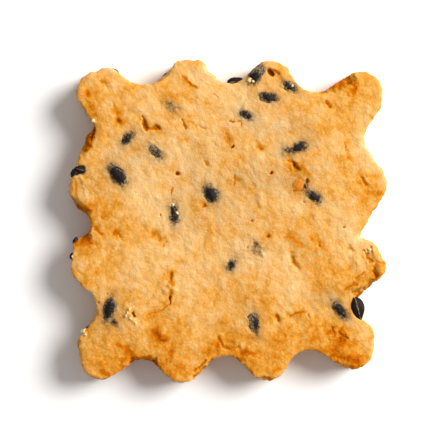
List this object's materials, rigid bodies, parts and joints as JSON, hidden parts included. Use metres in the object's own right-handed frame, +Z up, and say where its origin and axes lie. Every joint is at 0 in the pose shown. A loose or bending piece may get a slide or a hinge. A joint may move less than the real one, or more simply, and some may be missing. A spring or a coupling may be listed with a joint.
{
  "type": "sesame cookie",
  "caption": "Thin square biscuit with a scalloped rim, a gently uneven baked top with small cracks and dents, and black sesame seeds set into the dough.",
  "frame": {"origin": "middle of the flat base, at the centre of the outline's box", "axes": "+Z up through the thickness, the baked top faces +Z, +X to the right and +Y away from the viewer as in the picture seen from above"},
  "size_m": [0.0447, 0.0453, 0.0063],
  "materials": {
    "baked_dough": "matte, dry and finely grained, baked golden",
    "black_sesame": "satin seed coat with a fine ridge",
    "toasted_sesame": "satin, toasted amber"
  },
  "bodies": {
    "root": {"sesame_cookie": "baked_dough"}
  },
  "joints": []
}
